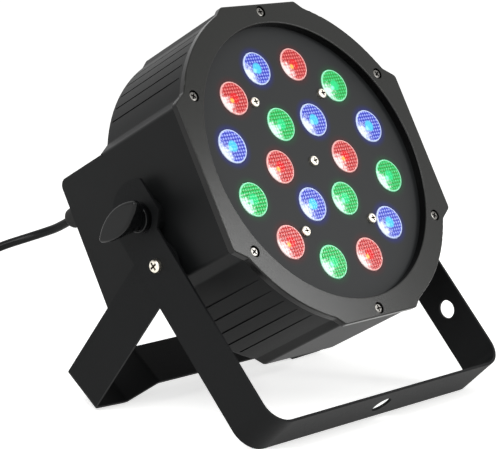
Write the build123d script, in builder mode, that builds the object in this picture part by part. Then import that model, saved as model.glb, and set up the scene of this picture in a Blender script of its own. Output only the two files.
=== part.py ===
from build123d import *
from math import atan2, cos, pi, radians, sin, sqrt, tan
import os

# A flat stage light on a folding double bracket. Millimetres, +Z up, the lamps face -Y, +X is to the
# right of someone who faces the lamps. The origin is on the floor, under the middle of the light.

os.makedirs("parts", exist_ok=True)

# Shared fits and the overrun that every cut gets
cut_over = 1.0
running_gap = 0.05
body_gap = 0.3
full_turn = 360
half_turn = 180

# How the light stands: the face looks up, the front bracket leans back and the rear one forward
face_tilt = 30.2
front_lean = 43.2
rear_lean = 36.8

# Lamp head outline, seen from the front
ring_radius = 92.5
tab_cut = 2.3
tab_half_width = 29.3
tab_flare = 5.2
side_cut = 3.5
side_half_height = 40.4
side_flare = 5.2
corner_round = 3.0

# Bezel
plate_recess = 5.0
bezel_thickness = 3.6
bezel_band = 13.5
collar_wall = 2.2
bezel_screw_inset = 6.7
bezel_screw_count = 6
bezel_screw_start = 30
counterbore_radius = 3.2
counterbore_depth = 2.4
rim_round = 0.6

# Lamp plate and its lamps, at z 0 of the face
lamp_plate_thickness = 1.5
lens_share = 0.12025
lens_gap = 0.3
lens_proud = 0.4
lens_round = 0.3
lens_flange_reach = 0.9
lens_flange_thickness = 1.2
lens_cone_foot_radius = 4.5
lens_cone_height = 9.3
inner_ring_share = 0.33544
outer_ring_share = 0.72785
plate_screw_share = 0.58
plate_screw_angle = 53.43

# Lamp board and what cools it
holder_share = 1.12
holder_wall = 0.8
holder_height = 10.9
lamp_board_gap = 7.0
lamp_board_thickness = 1.6
emitter_radius = 3.2
emitter_height = 0.8
emitter_dome_radius = 2.4
emitter_dome_height = 0.5
heat_sink_thickness = 2.5
fin_height = 10.0
fin_thickness = 1.5
fin_count = 14
screw_fin_count = 4
heat_sink_inset = 2.0
standoff_radius = 2.5

# Machine screws
small_shank_radius = 1.45
small_head_radius = 2.8
small_head_height = 1.9
head_round_share = 0.45
recess_arm = 0.9
recess_reach = 3.4
recess_depth = 1.1
plate_screw_length = 7.0
bezel_screw_length = 14.0
sink_screw_length = 8.0
board_screw_length = 7.0

# Housing
housing_inset = 1.0
groove_count = 5
groove_first_angle = 37.6
groove_angle_step = 5.8
groove_width = 1.0
groove_shallow = 0.2
groove_depth = 1.2
groove_start = 2.0
groove_end = 57.5
shell_wall = 2.4
drum_depth = 60.5
drum_round = 1.2
block_depth = 94.6
block_round = 4.5
ledge_width = 3.0
ledge_thickness = 2.5
boss_radius = 3.4
boss_length = 18.0
thread_radius = 1.45

# Pivots, in the head's own frame: up the face and behind the lamp plate
pivot_rise = -3.0
pivot_depth = 40.5
pivot_boss_radius = 9.5
friction_washer_thickness = 1.4
insert_radius = 5.0
insert_flange_radius = 8.0
insert_flange_thickness = 2.5
stud_radius = 3.0
stud_end_inset = 1.5

# Brackets, bent from sheet steel
arm_gap = 6.9
sheet = 1.5
strip_width = 26.1
bend_radius = 13.5
front_drop_gap = 38.4
strip_back = 20.3
pad_front = 13.3
pad_kink_drop = 4.5
pad_foot_drop = 10.7
pad_corner_round = 1.2
rear_pivot_drop = 25.0
clamp_hole_radius = 6.0
safety_hole_radius = 5.2
safety_hole_rise = 43.5
rear_side_gap = 0.75
rear_bend_radius = 2.5
fold_radius = 5.0
foot_rise = 1.8
joggle = 10.7
joggle_foot_inset = 27.5
joggle_ramp = 17.8

# Hinge screws of the rear bracket
hinge_shank_radius = 2.0
hinge_head_radius = 3.5
hinge_head_height = 2.6
hinge_recess_arm = 1.1
hinge_recess_reach = 4.6
hinge_recess_depth = 1.4
hinge_washer_thickness = 0.45
hinge_washer_radius = 5.5
hinge_nut_radius = 4.0
nut_sides = 6
hinge_nut_thickness = 2.2
hinge_screw_tail = 0.6

# Wing knobs
knob_washer_radius = 8.0
knob_washer_thickness = 1.0
knob_flange_radius = 7.4
knob_flange_height = 2.0
knob_neck_radius = 6.4
knob_neck_height = 3.8
knob_height = 16.2
knob_cap_height = 3.5
wing_foot_half_length = 12.0
wing_foot_half_width = 6.0
wing_half_length = 18.3
wing_half_width = 6.6
wing_tip_round = 2.0
wing_round = 1.6

# Power board
power_board_depth = 46.4
board_thickness = 1.6
power_board_width_share = 1.18919
power_board_height_share = 1.12432
power_post_inset_x = 8.0
power_post_inset_y = 6.0
post_radius = 3.6
transformer_width = 26.0
transformer_height = 22.0
transformer_depth = 18.0
transformer_x = -22.0
transformer_y = 6.0
winding_flange = 2.2
capacitor_radii = (6.0, 5.0)
capacitor_heights = (17.0, 14.0)
capacitor_x = 6.0
capacitor_y = (12.0, -6.0)
rectifier_width = 15.0
rectifier_height = 4.0
rectifier_depth = 11.0
rectifier_x = 27.0
rectifier_y = -24.0
terminal_width = 12.0
terminal_height = 20.0
terminal_depth = 10.0
terminal_edge_gap = 2.0
terminal_post_gap = 26.0
terminal_pitch = 6.0
terminal_count = 3
terminal_screw_radius = 1.6
terminal_screw_depth = 2.0

# Control board behind the rear wall
control_board_share = 0.65909
control_board_height = 48.0
control_board_x_share = 0.09091
control_board_y = 4.0
control_board_gap = 8.4
control_post_inset = 4.0
control_post_radius = 2.6
display_share = 0.51724
display_height = 13.0
display_rise = 13.0
display_depth = 6.8
window_margin = 1.5
window_thickness = 1.5
window_flange = 1.2
button_count = 4
button_pitch = 10.5
button_row_rise = -7.0
button_radius = 2.8
button_proud = 1.3
button_travel = 0.6
button_flange_radius = 3.6
button_flange_thickness = 0.9
button_stem_radius = 1.5
switch_width = 6.0
switch_height = 3.4
microphone_radius = 3.0
microphone_height = 6.8
microphone_inset = 6.0
microphone_rise = 11.0
microphone_port_radius = 1.0

# Cooling fan behind its slots
fan_x_share = 0.5
fan_size_share = 0.45455
fan_thickness = 10.0
fan_bore_wall = 1.2
fan_corner_round = 3.0
fan_screw_share = 0.8
fan_hub_radius = 9.0
fan_blade_gap = 0.9
fan_blade_count = 7
fan_blade_thickness = 1.1
fan_blade_pitch = 32
fan_blade_width = 5.4
fan_hub_wall = 1.4
fan_mount_radius = 4.0
fan_mount_thickness = 3.0
fan_screw_length = 9.0
fan_spoke_width = 2.6
fan_spoke_thickness = 1.6
fan_shaft_radius = 1.2
slot_count = 7
slot_pitch_share = 0.12
slot_width = 2.2
slot_length_shares = (0.52, 0.78, 0.92, 0.97, 0.92, 0.78, 0.52)

# Signal sockets
socket_side_gap = 30.0
socket_rise = 17.0
socket_flange_radius = 13.0
socket_flange_thickness = 1.6
socket_outer_radius = 11.0
socket_cup_radius = 9.3
socket_floor = 2.0
contact_circle = 4.0
contact_radius = 1.2
contact_height = 10.5
contact_angles = (45, 135, 270)
insert_face_radius = 8.2
insert_face_depth = 17.0
sleeve_wall = 0.3

# Mains cord, its gland, coil and plug
cord_diameter = 4.8
gland_side_gap = 7.0
gland_rise = 20.2
gland_flange_radius = 6.4
gland_flange_thickness = 1.4
gland_dome_height = 8.2
gland_dome_radius = 5.6
gland_dome_round = 3.0
gland_barrel_radius = 3.6
gland_barrel_length = 13.0
cord_lift = 0.1
corner_share = 0.45
climb_share = 1.5
cord_first_run = 10.0
cord_last_run = 13.5
cord_way = [
    (-3.0, 17.77),
    (-9.0, 26.17),
    (-18.5, 33.17),
    (-30.5, 39.67),
    (-43.0, 47.67),
    (-54.0, 57.17),
    (-62.0, 67.67),
    (-66.8, 79.17),
    (-68.6, 91.17),
]
cord_height_shares = (0.908, 0.8702, 0.8345, 0.7805, 0.6784, 0.5356, 0.3724, 0.2193, 0.0918)
coil_across = -35.0
coil_behind = 123.47
coil_outer_radius = 33.7
coil_pitch = 5.35
coil_in_count = 12
coil_up_count = 2
coil_out_count = 11
coil_tail = 18.0
coil_sample_count = 8
plug_length = 34.0
plug_width = 24.0
plug_thickness = 14.0
plug_neck_width = 10.0
plug_round = 3.0
plug_pin_radius = 2.0
plug_pin_length = 19.0
plug_pin_spacing = 18.6
plug_relief_length = 20.0
plug_relief_radius = 4.0

# What follows from the head's radius: its flats, its opening with the lamps, and the bracket round it
tab_height = ring_radius - tab_cut
side_reach = ring_radius - side_cut
opening_radius = ring_radius - bezel_band
bezel_screw_circle = ring_radius - bezel_screw_inset
inner_ring_radius = opening_radius * inner_ring_share
outer_ring_radius = opening_radius * outer_ring_share
plate_screw_circle = opening_radius * plate_screw_share
lens_radius = opening_radius * lens_share
lamp_hole_radius = lens_radius + lens_gap
lens_flange_radius = lens_radius + lens_flange_reach
holder_outer_radius = lens_radius * holder_share
lamp_board_radius = opening_radius - lamp_board_gap
heat_sink_radius = lamp_board_radius - heat_sink_inset
fin_pitch = plate_screw_circle * sin(radians(plate_screw_angle)) / screw_fin_count
bracket_half_width = side_reach + arm_gap
front_drop = ring_radius + front_drop_gap
joggle_foot_half = bracket_half_width - joggle_foot_inset
joggle_top_half = joggle_foot_half - joggle_ramp

# The power board fills the drum, and the controls share the block's width
block_half_width = side_reach - housing_inset
block_half_height = side_half_height - housing_inset
power_board_width = ring_radius * power_board_width_share
power_board_height = ring_radius * power_board_height_share
power_post_x = power_board_width / 2 - power_post_inset_x
power_post_y = power_board_height / 2 - power_post_inset_y
terminal_x = terminal_edge_gap + terminal_width / 2 - power_board_width / 2
terminal_y = power_post_y - terminal_post_gap
control_board_width = block_half_width * control_board_share
control_board_x = block_half_width * control_board_x_share
control_post_x = control_board_width / 2 - control_post_inset
control_post_y = control_board_height / 2 - control_post_inset
display_width = control_board_width * display_share
microphone_x = control_board_x + control_board_width / 2 - microphone_inset
fan_x = -block_half_width * fan_x_share
fan_size = block_half_width * fan_size_share
fan_bore_radius = fan_size / 2 - fan_bore_wall
fan_screw_pitch = fan_size * fan_screw_share
fan_blade_reach = fan_bore_radius - fan_blade_gap
slot_pitch = fan_size * slot_pitch_share
socket_x = block_half_width - socket_side_gap
gland_x = gland_side_gap - block_half_width

# The pivot's place above the floor comes from the front bracket, whose lower edge stands on it
lean_sin = sin(radians(front_lean))
lean_cos = cos(radians(front_lean))
tilt_sin = sin(radians(face_tilt))
tilt_cos = cos(radians(face_tilt))
pivot_height = front_drop * lean_cos + strip_back * lean_sin
front_toe = front_drop * lean_sin + (strip_width - strip_back) * lean_cos
block_edge_rise = side_half_height - housing_inset - pivot_rise - block_round
block_edge_depth = block_depth - pivot_depth - block_round
rear_reach = tilt_sin * block_edge_rise + tilt_cos * block_edge_depth + block_round
pivot_y = (front_toe - rear_reach) / 2
pivot = Vector(0, pivot_y, pivot_height)

face_up = Vector(0, tilt_sin, tilt_cos)
face_out = Vector(0, -tilt_cos, tilt_sin)
face_center = pivot - face_up * pivot_rise + face_out * pivot_depth
face = Plane(origin=face_center, x_dir=(1, 0, 0), z_dir=face_out)

arm_up = Vector(0, lean_sin, lean_cos)
arm_across = Vector(0, -lean_cos, lean_sin)
front_frame = Plane(origin=pivot, x_dir=(1, 0, 0), z_dir=arm_across)

strip_middle = strip_width / 2 - strip_back
hinge = pivot - arm_up * rear_pivot_drop + arm_across * strip_middle
rear_up = Vector(0, -sin(radians(rear_lean)), cos(radians(rear_lean)))
rear_across = Vector(0, -cos(radians(rear_lean)), -sin(radians(rear_lean)))
rear_frame = Plane(origin=hinge, x_dir=(1, 0, 0), z_dir=rear_across)
joggle_rise = atan2(joggle, joggle_ramp)
fold_turn = joggle_rise + atan2(foot_rise, joggle_foot_inset)
fold_lift = fold_radius * (1 / cos(fold_turn / 2) - 1)
rear_drop = fold_lift + (hinge.Z - strip_width / 2 * sin(radians(rear_lean))) / cos(radians(rear_lean))


def at_depth(depth):
    """The face plane, moved back by a depth behind the lamp plate's front."""
    return face.offset(-depth)


def behind(depth, x=0, y=0):
    """A plane that looks back from the head, at a depth behind the lamp plate's front."""
    return Plane(origin=face.from_local_coords((x, y, -depth)), x_dir=(1, 0, 0), z_dir=-face_out)


def side_plane(side, reach, rise, depth):
    """A plane that looks out to one side of the head, with its own x up the face."""
    spot = face.from_local_coords((side * reach, rise, -depth))
    return Plane(origin=spot, x_dir=face_up, z_dir=(side, 0, 0))


def arm_plane(side, reach, drop, across):
    """A plane that looks out to one side of the front bracket, with its own x up the arm."""
    spot = pivot + Vector(side * reach, 0, 0) - arm_up * drop + arm_across * across
    return Plane(origin=spot, x_dir=arm_up, z_dir=(side, 0, 0))


def head_outline(inset):
    """The head's outline from the front, drawn smaller by an inset."""
    ring = ring_radius - inset
    foot_x = tab_half_width + tab_flare - inset
    foot_y = sqrt(ring**2 - foot_x**2)
    flank_y = side_half_height + side_flare - inset
    flank_x = sqrt(ring**2 - flank_y**2)
    middle = (atan2(flank_y, flank_x) + atan2(foot_y, foot_x)) / 2
    with BuildSketch() as outline:
        with BuildLine():
            Line((0, tab_height - inset), (tab_half_width - inset, tab_height - inset))
            Line((tab_half_width - inset, tab_height - inset), (foot_x, foot_y))
            ThreePointArc(
                (foot_x, foot_y), (ring * cos(middle), ring * sin(middle)), (flank_x, flank_y)
            )
            Line((flank_x, flank_y), (side_reach - inset, side_half_height - inset))
            Line((side_reach - inset, side_half_height - inset), (side_reach - inset, 0))
            mirror(about=Plane.YZ)
            mirror(about=Plane.XZ)
        make_face()
        corners = outline.vertices().filter_by(lambda spot: min(abs(spot.X), abs(spot.Y)) > corner_round)
        fillet(corners, corner_round)
    return outline.sketch


def cross_screw(head_radius, head_height, shank_radius, length, arm, reach, depth):
    """A pan head screw with a cross recess: its seat at z 0, its shank down, its recess up."""
    with BuildPart() as screw:
        with BuildSketch():
            Circle(head_radius)
        extrude(amount=head_height)
        fillet(screw.edges().group_by(Axis.Z)[-1], head_height * head_round_share)
        with BuildSketch():
            Circle(shank_radius)
        extrude(amount=-length)
        with BuildSketch(Plane.XY.offset(head_height)):
            Rectangle(arm, reach)
            Rectangle(reach, arm)
        extrude(amount=-depth, mode=Mode.SUBTRACT)
    return screw.part


def small_screw(length):
    """The common small screw of the light, in any length."""
    return cross_screw(
        small_head_radius,
        small_head_height,
        small_shank_radius,
        length,
        recess_arm,
        recess_reach,
        recess_depth,
    )


def ring_places(radius, angles):
    """Places on a ring of lamps, for angles counted from +X."""
    return [(radius * cos(radians(angle)), radius * sin(radians(angle))) for angle in angles]


# The lamps' places: an inner ring of six and an outer ring of twelve, by colour
red_places = ring_places(inner_ring_radius, (0, 180))
red_places += ring_places(outer_ring_radius, (75, -75, -135, 135))
green_places = ring_places(inner_ring_radius, (120, -60))
green_places += ring_places(outer_ring_radius, (45, -15, -105, -165))
blue_places = ring_places(inner_ring_radius, (60, -120))
blue_places += ring_places(outer_ring_radius, (105, 15, -45, 165))
lamp_places = red_places + green_places + blue_places
plate_screw_places = [(0, 0)]
for turned in (plate_screw_angle, half_turn - plate_screw_angle):
    plate_screw_places += ring_places(plate_screw_circle, (turned, -turned))
lamp_plate_radius = opening_radius + collar_wall

# Depths behind the lamp plate's front
bezel_front = -plate_recess
bezel_back = bezel_front + bezel_thickness
lamp_board_depth = lamp_plate_thickness + lens_flange_thickness + holder_height
sink_depth = lamp_board_depth + lamp_board_thickness
rear_wall_inside = block_depth - shell_wall
control_board_depth = rear_wall_inside - control_board_gap

with BuildPart() as bezel:
    with BuildSketch(at_depth(bezel_back)):
        add(head_outline(0))
        Circle(opening_radius, mode=Mode.SUBTRACT)
    extrude(amount=bezel_thickness)
    front_side = bezel.faces().sort_by(lambda side: face.to_local_coords(side.center()).Z)[-1]
    fillet(front_side.edges(), rim_round)
    with BuildSketch(at_depth(0)):
        Circle(lamp_plate_radius)
        Circle(opening_radius, mode=Mode.SUBTRACT)
    extrude(amount=-bezel_back)
    with BuildSketch(at_depth(bezel_front + counterbore_depth)):
        with PolarLocations(bezel_screw_circle, bezel_screw_count, start_angle=bezel_screw_start):
            Circle(counterbore_radius)
    extrude(amount=counterbore_depth + cut_over, mode=Mode.SUBTRACT)
    with BuildSketch(at_depth(bezel_back + cut_over)):
        with PolarLocations(bezel_screw_circle, bezel_screw_count, start_angle=bezel_screw_start):
            Circle(small_shank_radius + running_gap)
    extrude(amount=bezel_thickness, mode=Mode.SUBTRACT)
bezel.part.label = "bezel"
export_step(bezel.part, "parts/bezel.step")

with BuildPart() as lamp_plate:
    with BuildSketch(at_depth(lamp_plate_thickness)):
        Circle(lamp_plate_radius)
        with Locations(*lamp_places):
            Circle(lamp_hole_radius, mode=Mode.SUBTRACT)
        with Locations(*plate_screw_places):
            Circle(small_shank_radius + running_gap, mode=Mode.SUBTRACT)
    extrude(amount=lamp_plate_thickness)
lamp_plate.part.label = "lamp_plate"
export_step(lamp_plate.part, "parts/lamp_plate.step")

# One lens: a flange behind the plate, a face in the plate's hole and a cone down to the lamp
flange_top = -lamp_plate_thickness
flange_foot = flange_top - lens_flange_thickness
with BuildPart() as lens:
    with BuildSketch(Plane.XZ):
        with BuildLine():
            Polyline(
                (0, lens_proud),
                (lens_radius, lens_proud),
                (lens_radius, flange_top),
                (lens_flange_radius, flange_top),
                (lens_flange_radius, flange_foot),
                (lens_radius, flange_foot),
                (lens_cone_foot_radius, flange_foot - lens_cone_height),
                (0, flange_foot - lens_cone_height),
                close=True,
            )
        make_face()
    revolve(axis=Axis.Z)
    fillet(lens.edges().group_by(Axis.Z)[-1], lens_round)

for colour, places in (("red", red_places), ("green", green_places), ("blue", blue_places)):
    with BuildPart(at_depth(0)) as lenses:
        with Locations(*places):
            add(lens.part)
    lenses.part.label = colour + "_lenses"
    export_step(lenses.part, "parts/" + colour + "_lenses.step")

with BuildPart() as lens_holders:
    with BuildSketch(at_depth(lamp_board_depth)):
        with Locations(*lamp_places):
            Circle(holder_outer_radius)
            Circle(holder_outer_radius - holder_wall, mode=Mode.SUBTRACT)
    extrude(amount=holder_height)
lens_holders.part.label = "lens_holders"
export_step(lens_holders.part, "parts/lens_holders.step")

with BuildPart() as led_emitters:
    with BuildSketch(at_depth(lamp_board_depth)):
        with Locations(*lamp_places):
            Circle(emitter_radius)
    extrude(amount=emitter_height)
    with BuildSketch(at_depth(lamp_board_depth - emitter_height)):
        with Locations(*lamp_places):
            Circle(emitter_dome_radius)
    extrude(amount=emitter_dome_height)
led_emitters.part.label = "led_emitters"
export_step(led_emitters.part, "parts/led_emitters.step")

with BuildPart() as led_board:
    with BuildSketch(at_depth(sink_depth)):
        Circle(lamp_board_radius)
        with Locations(*plate_screw_places):
            Circle(small_shank_radius + running_gap, mode=Mode.SUBTRACT)
    extrude(amount=lamp_board_thickness)
led_board.part.label = "led_board"
export_step(led_board.part, "parts/led_board.step")

with BuildPart() as heat_sink:
    with BuildSketch(at_depth(sink_depth)):
        Circle(heat_sink_radius)
        with Locations(*plate_screw_places):
            Circle(small_shank_radius + running_gap, mode=Mode.SUBTRACT)
    extrude(amount=-heat_sink_thickness)
    with BuildSketch(at_depth(sink_depth + heat_sink_thickness)):
        with GridLocations(0, fin_pitch, 1, fin_count):
            Rectangle(2 * heat_sink_radius, fin_thickness)
        Circle(heat_sink_radius, mode=Mode.INTERSECT)
    extrude(amount=-fin_height)
heat_sink.part.label = "heat_sink"
export_step(heat_sink.part, "parts/heat_sink.step")

with BuildPart() as standoffs:
    with BuildSketch(at_depth(lamp_board_depth)):
        with Locations(*plate_screw_places):
            Circle(standoff_radius)
            Circle(small_shank_radius, mode=Mode.SUBTRACT)
    extrude(amount=lamp_board_depth - lamp_plate_thickness)
standoffs.part.label = "standoffs"
export_step(standoffs.part, "parts/standoffs.step")

with BuildPart(at_depth(0)) as plate_screws:
    with Locations(*plate_screw_places):
        add(small_screw(plate_screw_length))
plate_screws.part.label = "plate_screws"
export_step(plate_screws.part, "parts/plate_screws.step")

with BuildPart(behind(sink_depth + heat_sink_thickness)) as heat_sink_screws:
    with Locations(*plate_screw_places):
        add(small_screw(sink_screw_length))
heat_sink_screws.part.label = "heat_sink_screws"
export_step(heat_sink_screws.part, "parts/heat_sink_screws.step")

with BuildPart(at_depth(bezel_front + counterbore_depth)) as bezel_screws:
    with PolarLocations(bezel_screw_circle, bezel_screw_count, start_angle=bezel_screw_start):
        add(small_screw(bezel_screw_length))
bezel_screws.part.label = "bezel_screws"
export_step(bezel_screws.part, "parts/bezel_screws.step")

# Housing: a drum with tapering grooves in its round parts, and a block behind that carries the controls
cavity_inset = housing_inset + groove_depth + shell_wall
drum_inside = drum_depth - shell_wall
seat_radius = lamp_plate_radius + body_gap
ledge_foot = lamp_plate_thickness + ledge_thickness
boss_end = bracket_half_width - sheet - body_gap - friction_washer_thickness
power_board_back = power_board_depth + board_thickness
control_board_front = control_board_depth - board_thickness
fan_screw_places = [
    (fan_x + x * fan_screw_pitch / 2, y * fan_screw_pitch / 2) for x in (-1, 1) for y in (-1, 1)
]
power_post_places = [(x * power_post_x, y * power_post_y) for x in (-1, 1) for y in (-1, 1)]
control_post_places = [
    (control_board_x + x * control_post_x, control_board_y + y * control_post_y)
    for x in (-1, 1) for y in (-1, 1)
]
display_center = (control_board_x, display_rise)
button_places = [
    (control_board_x + (count - (button_count - 1) / 2) * button_pitch, button_row_rise)
    for count in range(button_count)
]
socket_in_place = (socket_x, socket_rise)
socket_out_place = (socket_x, -socket_rise)
gland_place = (gland_x, gland_rise)

housing_radius = ring_radius - housing_inset
with BuildPart() as groove:
    with BuildSketch(Plane.XZ):
        with BuildLine():
            Polyline(
                (housing_radius + cut_over, -groove_start),
                (housing_radius - groove_shallow, -groove_start),
                (housing_radius - groove_depth, -groove_end),
                (housing_radius + cut_over, -groove_end),
                close=True,
            )
        make_face()
    extrude(amount=groove_width / 2, both=True)

with BuildPart() as housing:
    with BuildSketch(at_depth(bezel_back)):
        add(head_outline(housing_inset))
    extrude(amount=bezel_back - drum_depth)
    rear_side = housing.faces().sort_by(lambda side: face.to_local_coords(side.center()).Z)[0]
    fillet(rear_side.edges(), drum_round)
    with Locations(face):
        for count in range(groove_count):
            angle = groove_first_angle + groove_angle_step * count
            for start in (angle, -angle):
                with PolarLocations(0, 2, start_angle=start):
                    add(groove.part, mode=Mode.SUBTRACT)
    with BuildSketch(side_plane(1, block_half_width, 0, drum_inside)):
        with BuildLine():
            Line((-block_half_height, 0), (block_half_height, 0))
            FilletPolyline(
                (block_half_height, 0),
                (block_half_height, drum_inside - block_depth),
                (-block_half_height, drum_inside - block_depth),
                (-block_half_height, 0),
                radius=block_round,
            )
        make_face()
    extrude(amount=-2 * block_half_width)
    with Locations(
        side_plane(1, block_half_width, pivot_rise, pivot_depth),
        side_plane(-1, block_half_width, pivot_rise, pivot_depth),
    ):
        Cylinder(
            pivot_boss_radius,
            boss_end - block_half_width,
            align=(Align.CENTER, Align.CENTER, Align.MIN),
        )
    with BuildSketch(at_depth(ledge_foot)):
        add(head_outline(cavity_inset))
    extrude(amount=ledge_foot - drum_inside, mode=Mode.SUBTRACT)
    with BuildSketch(at_depth(bezel_back - cut_over)):
        Circle(seat_radius)
    extrude(amount=bezel_back - cut_over - lamp_plate_thickness, mode=Mode.SUBTRACT)
    with BuildSketch(at_depth(0)):
        Circle(seat_radius - ledge_width)
    extrude(amount=-ledge_foot - cut_over, mode=Mode.SUBTRACT)
    with BuildSketch(at_depth(drum_inside - cut_over)):
        RectangleRounded(
            2 * (block_half_width - shell_wall),
            2 * (block_half_height - shell_wall),
            block_round - shell_wall,
        )
    extrude(amount=drum_inside - cut_over - rear_wall_inside, mode=Mode.SUBTRACT)
    with BuildSketch(at_depth(ledge_foot)):
        with PolarLocations(bezel_screw_circle, bezel_screw_count, start_angle=bezel_screw_start):
            Circle(boss_radius)
        add(head_outline(housing_inset + groove_depth), mode=Mode.INTERSECT)
    extrude(amount=ledge_foot - boss_length)
    with BuildSketch(at_depth(power_board_back)):
        with Locations(*power_post_places):
            Circle(post_radius)
    extrude(amount=power_board_back - drum_inside - shell_wall / 2)
    with BuildSketch(at_depth(control_board_depth)):
        with Locations(*control_post_places):
            Circle(control_post_radius)
    extrude(amount=control_board_depth - rear_wall_inside - shell_wall / 2)
    with BuildSketch(at_depth(bezel_back - cut_over)):
        with PolarLocations(bezel_screw_circle, bezel_screw_count, start_angle=bezel_screw_start):
            Circle(thread_radius)
    extrude(amount=-bezel_screw_length - cut_over, mode=Mode.SUBTRACT)
    with BuildSketch(at_depth(power_board_depth)):
        with Locations(*power_post_places):
            Circle(thread_radius)
    extrude(amount=-board_screw_length - cut_over, mode=Mode.SUBTRACT)
    with BuildSketch(at_depth(control_board_front)):
        with Locations(*control_post_places):
            Circle(thread_radius)
    extrude(amount=-board_screw_length - cut_over, mode=Mode.SUBTRACT)
    with BuildSketch(at_depth(rear_wall_inside - cut_over)):
        with Locations(display_center):
            Rectangle(display_width + 2 * window_margin, display_height + 2 * window_margin)
        with Locations(*button_places):
            Circle(button_radius + body_gap)
        with Locations((microphone_x, microphone_rise)):
            Circle(microphone_port_radius)
        with Locations(*fan_screw_places):
            Circle(small_shank_radius + running_gap)
        with Locations(socket_in_place, socket_out_place):
            Circle(socket_outer_radius + running_gap)
        with Locations(gland_place):
            Circle(gland_barrel_radius + running_gap)
        for slot, share in enumerate(slot_length_shares):
            with Locations((fan_x, (slot - (slot_count - 1) / 2) * slot_pitch)):
                SlotOverall(2 * fan_bore_radius * share, slot_width)
    extrude(amount=-shell_wall - 2 * cut_over, mode=Mode.SUBTRACT)
    with Locations(
        side_plane(1, boss_end + cut_over, pivot_rise, pivot_depth),
        side_plane(-1, boss_end + cut_over, pivot_rise, pivot_depth),
    ):
        Cylinder(
            insert_radius,
            boss_end + cut_over - side_reach + cavity_inset + cut_over,
            align=(Align.CENTER, Align.CENTER, Align.MAX),
            mode=Mode.SUBTRACT,
        )
housing.part.label = "housing"
export_step(housing.part, "parts/housing.step")

# Threaded inserts, friction washers and knob washers share the head's tilt axis
with BuildPart() as tilt_inserts:
    for side in (1, -1):
        with Locations(side_plane(side, boss_end, pivot_rise, pivot_depth)):
            Cylinder(
                insert_radius,
                boss_end - side_reach + cavity_inset,
                align=(Align.CENTER, Align.CENTER, Align.MAX),
            )
        with Locations(side_plane(side, side_reach - cavity_inset, pivot_rise, pivot_depth)):
            Cylinder(
                insert_flange_radius,
                insert_flange_thickness,
                align=(Align.CENTER, Align.CENTER, Align.MAX),
            )
        with Locations(side_plane(side, boss_end, pivot_rise, pivot_depth)):
            Cylinder(
                stud_radius + running_gap,
                boss_end,
                align=(Align.CENTER, Align.CENTER, Align.MAX),
                mode=Mode.SUBTRACT,
            )
tilt_inserts.part.label = "tilt_inserts"
export_step(tilt_inserts.part, "parts/tilt_inserts.step")

with BuildPart() as friction_washers:
    for side in (1, -1):
        with BuildSketch(side_plane(side, boss_end, pivot_rise, pivot_depth)):
            Circle(pivot_boss_radius)
            Circle(stud_radius + body_gap, mode=Mode.SUBTRACT)
        extrude(amount=friction_washer_thickness)
friction_washers.part.label = "friction_washers"
export_step(friction_washers.part, "parts/friction_washers.step")

with BuildPart() as knob_washers:
    for side in (1, -1):
        with BuildSketch(arm_plane(side, bracket_half_width, 0, 0)):
            Circle(knob_washer_radius)
            Circle(stud_radius + running_gap, mode=Mode.SUBTRACT)
        extrude(amount=knob_washer_thickness)
knob_washers.part.label = "knob_washers"
export_step(knob_washers.part, "parts/knob_washers.step")

# Wing knobs: a round hub that spreads into an almond-shaped wing across the front bracket's arm
knob_seat = bracket_half_width + knob_washer_thickness + body_gap
wing_foot = knob_flange_height + knob_neck_height
wing_top = knob_height - knob_cap_height
stud_end = side_reach - cavity_inset - insert_flange_thickness + stud_end_inset
for name, side in (("left", -1), ("right", 1)):
    knob_frame = Plane(origin=pivot + Vector(side * knob_seat, 0, 0), x_dir=arm_across, z_dir=(side, 0, 0))
    with BuildPart() as knob:
        with BuildSketch(knob_frame):
            Circle(knob_flange_radius)
        extrude(amount=knob_flange_height)
        fillet(knob.edges().group_by(Axis.X)[-1 if side > 0 else 0], rim_round)
        with BuildSketch(knob_frame):
            Circle(knob_neck_radius)
        extrude(amount=wing_foot)
        for height, half_length, half_width in (
            (wing_foot, wing_foot_half_length, wing_foot_half_width),
            (wing_top, wing_half_length, wing_half_width),
        ):
            with BuildSketch(knob_frame.offset(height)):
                with BuildLine():
                    ThreePointArc((-half_length, 0), (0, half_width), (half_length, 0))
                    ThreePointArc((half_length, 0), (0, -half_width), (-half_length, 0))
                wing = make_face()
                fillet(wing.vertices(), wing_tip_round)
        loft()
        extrude(knob.faces().sort_by(Axis.X)[-1 if side > 0 else 0], amount=knob_cap_height)
        fillet(knob.faces().sort_by(Axis.X)[-1 if side > 0 else 0].edges(), wing_round)
    knob.part.label = "knob_" + name
    export_step(knob.part, "parts/knob_" + name + ".step")
    with BuildPart() as stud:
        with BuildSketch(Plane(origin=pivot + Vector(side * stud_end, 0, 0), z_dir=(side, 0, 0))):
            Circle(stud_radius)
        extrude(amount=knob_seat - stud_end)
    stud.part.label = "knob_stud_" + name
    export_step(stud.part, "parts/knob_stud_" + name + ".step")

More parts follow.
